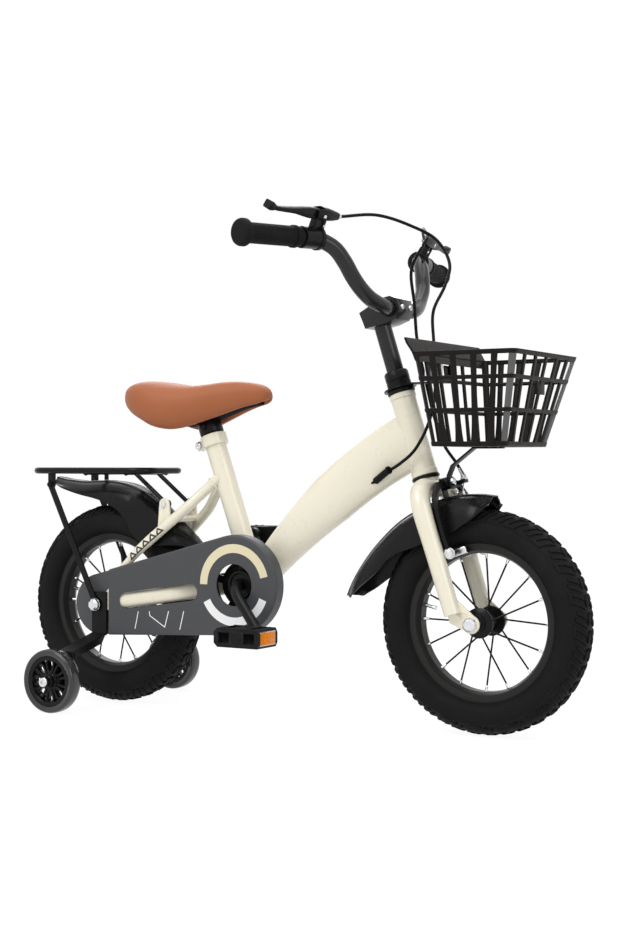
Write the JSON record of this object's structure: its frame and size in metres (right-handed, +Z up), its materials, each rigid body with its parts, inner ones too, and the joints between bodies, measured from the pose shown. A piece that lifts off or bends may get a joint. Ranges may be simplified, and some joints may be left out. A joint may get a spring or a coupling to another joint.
{
  "type": "kids bike with training wheels",
  "caption": "Small child's bicycle with fat tyres, side stabiliser wheels, slatted front basket, chain guard, rear rack and mudguards.",
  "frame": {"origin": "on the ground, halfway between the tyres' outer ends, in the middle of the width", "axes": "+X forward, +Y to the rider's left, +Z up"},
  "size_m": [0.949, 0.587, 0.7214],
  "materials": {
    "frame_paint": "gloss ivory paint",
    "black_metal": "satin black paint",
    "guard_plastic": "matte dark grey",
    "black_plastic": "semi gloss black",
    "bar_paint": "gloss dark grey paint",
    "bright_steel": "zinc bright",
    "saddle_cover": "smooth tan",
    "grip_rubber": "matte black",
    "tyre_rubber": "matte black",
    "basket_plastic": "dark brown woven look",
    "small_tyre": "smoky grey",
    "cable_sleeve": "black sleeve",
    "pedal_plastic": "black"
  },
  "bodies": {
    "frame": {"frame": "frame_paint", "headset_cup_lower": "black_metal", "headset_cup_upper": "black_metal", "seat_clamp": "frame_paint", "rear_rack": "black_metal", "rack_stay_right": "black_metal", "rack_stay_left": "black_metal", "rear_fender": "black_plastic", "chain_guard": "guard_plastic", "chain": "bright_steel", "training_bracket_right": "black_metal", "training_bracket_left": "black_metal", "rear_axle": "bright_steel", "band_brake_cover": "black_metal", "rear_brake_cable": "cable_sleeve", "cable_grommet": "grip_rubber", "bottom_bracket_cup_right": "bright_steel", "bottom_bracket_cup_left": "bright_steel"},
    "seat": {"seat_post": "bar_paint", "saddle_clamp": "black_metal", "saddle_base": "black_plastic", "saddle": "saddle_cover"},
    "steering": {"fork": "frame_paint", "stem": "bar_paint", "handlebar": "bar_paint", "grip_right": "grip_rubber", "grip_left": "grip_rubber", "lever_mount_right": "black_plastic", "lever_mount_left": "black_plastic", "front_fender": "black_plastic", "basket": "basket_plastic", "basket_bracket": "bar_paint", "basket_strut": "black_metal", "headset_locknut": "black_metal", "front_brake_cable": "cable_sleeve", "front_axle": "bright_steel", "caliper_bolt": "bright_steel"},
    "front_wheel": {"front_tyre": "tyre_rubber", "front_rim": "black_metal", "front_hub": "black_metal"},
    "rear_wheel": {"rear_tyre": "tyre_rubber", "rear_rim": "black_metal", "rear_hub": "black_metal", "brake_drum": "bright_steel"},
    "cog": {"freewheel_cog": "bright_steel"},
    "crank": {"crank": "black_metal", "chainring": "black_metal", "pedal_spindle_right": "bright_steel", "pedal_spindle_left": "bright_steel"},
    "pedal_right": {"pedal_right": "pedal_plastic"},
    "pedal_left": {"pedal_left": "pedal_plastic"},
    "training_wheel_right": {"training_wheel_right": "black_plastic", "training_tyre_right": "small_tyre"},
    "training_wheel_left": {"training_wheel_left": "black_plastic", "training_tyre_left": "small_tyre"},
    "brake_lever_right": {"brake_lever_right": "bar_paint"},
    "brake_lever_left": {"brake_lever_left": "bar_paint"},
    "caliper_arm_right": {"caliper_arm_right": "black_metal"},
    "caliper_arm_left": {"caliper_arm_left": "black_metal"},
    "band_brake_arm": {"band_brake_arm": "bright_steel"}
  },
  "joints": [
    {"name": "steering_turn", "type": "hinge", "parent": "frame", "child": "steering", "pos_m": [0.20727, 0, 0.41542], "axis": [-0.3057, 0, 0.9521], "range_deg": [-45, 45], "deforming": ["rear_brake_cable"]},
    {"name": "front_wheel_spin", "type": "hinge", "parent": "steering", "child": "front_wheel", "pos_m": [0.3185, 0, 0.156], "axis": [0, 1, 0], "continuous": true},
    {"name": "rear_wheel_spin", "type": "hinge", "parent": "frame", "child": "rear_wheel", "pos_m": [-0.3185, 0, 0.156], "axis": [0, 1, 0], "continuous": true},
    {"name": "crank_spin", "type": "hinge", "parent": "frame", "child": "crank", "pos_m": [-0.0585, 0, 0.196], "axis": [0, 1, 0], "continuous": true, "deforming": ["chain"]},
    {"name": "cog_spin", "type": "hinge", "parent": "frame", "child": "cog", "pos_m": [-0.3185, -0.039, 0.156], "axis": [0, 1, 0], "continuous": true},
    {"name": "pedal_right_spin", "type": "hinge", "parent": "crank", "child": "pedal_right", "pos_m": [0.00506, -0.1255, 0.12949], "axis": [0, 1, 0], "continuous": true},
    {"name": "pedal_left_spin", "type": "hinge", "parent": "crank", "child": "pedal_left", "pos_m": [-0.12206, 0.1255, 0.26251], "axis": [0, 1, 0], "continuous": true},
    {"name": "training_wheel_right_spin", "type": "hinge", "parent": "frame", "child": "training_wheel_right", "pos_m": [-0.3245, -0.155, 0.048], "axis": [0, 1, 0], "continuous": true},
    {"name": "training_wheel_left_spin", "type": "hinge", "parent": "frame", "child": "training_wheel_left", "pos_m": [-0.3245, 0.155, 0.048], "axis": [0, 1, 0], "continuous": true},
    {"name": "seat_height", "type": "slide", "parent": "frame", "child": "seat", "axis": [-0.3354, 0, 0.9421], "range_m": [0, 0.07]},
    {"name": "brake_lever_left_pull", "type": "hinge", "parent": "steering", "child": "brake_lever_left", "pos_m": [0.1511, 0.16198, 0.71025], "axis": [-0.8616, -0.1915, 0.47], "range_deg": [0, 8], "stiffness_Nm_per_rad": 1.5, "deforming": ["front_brake_cable"]},
    {"name": "caliper_arm_left_close", "type": "hinge", "parent": "steering", "child": "caliper_arm_left", "pos_m": [0.25965, 0, 0.34716], "axis": [-0.9521, 0, -0.3057], "range_deg": [0, 1.15], "stiffness_Nm_per_rad": 2},
    {"name": "brake_lever_right_pull", "type": "hinge", "parent": "steering", "child": "brake_lever_right", "pos_m": [0.1511, -0.16198, 0.71025], "axis": [0.8616, -0.1915, -0.47], "range_deg": [0, 8], "stiffness_Nm_per_rad": 1.5},
    {"name": "caliper_arm_right_close", "type": "hinge", "parent": "steering", "child": "caliper_arm_right", "pos_m": [0.25965, 0, 0.34716], "axis": [0.9521, 0, 0.3057], "range_deg": [0, 1.15], "stiffness_Nm_per_rad": 2},
    {"name": "band_brake_arm_pull", "type": "hinge", "parent": "frame", "child": "band_brake_arm", "pos_m": [-0.2945, 0.0433, 0.122], "axis": [0, -1, 0], "range_deg": [0, 12], "stiffness_Nm_per_rad": 0.5}
  ],
  "couplings": [
    {"joint": "cog_spin", "follows": "crank_spin", "ratio": 1.75},
    {"joint": "caliper_arm_right_close", "follows": "brake_lever_left_pull", "ratio": 0.14},
    {"joint": "caliper_arm_left_close", "follows": "brake_lever_left_pull", "ratio": 0.14},
    {"joint": "band_brake_arm_pull", "follows": "brake_lever_right_pull", "ratio": 1.4}
  ]
}
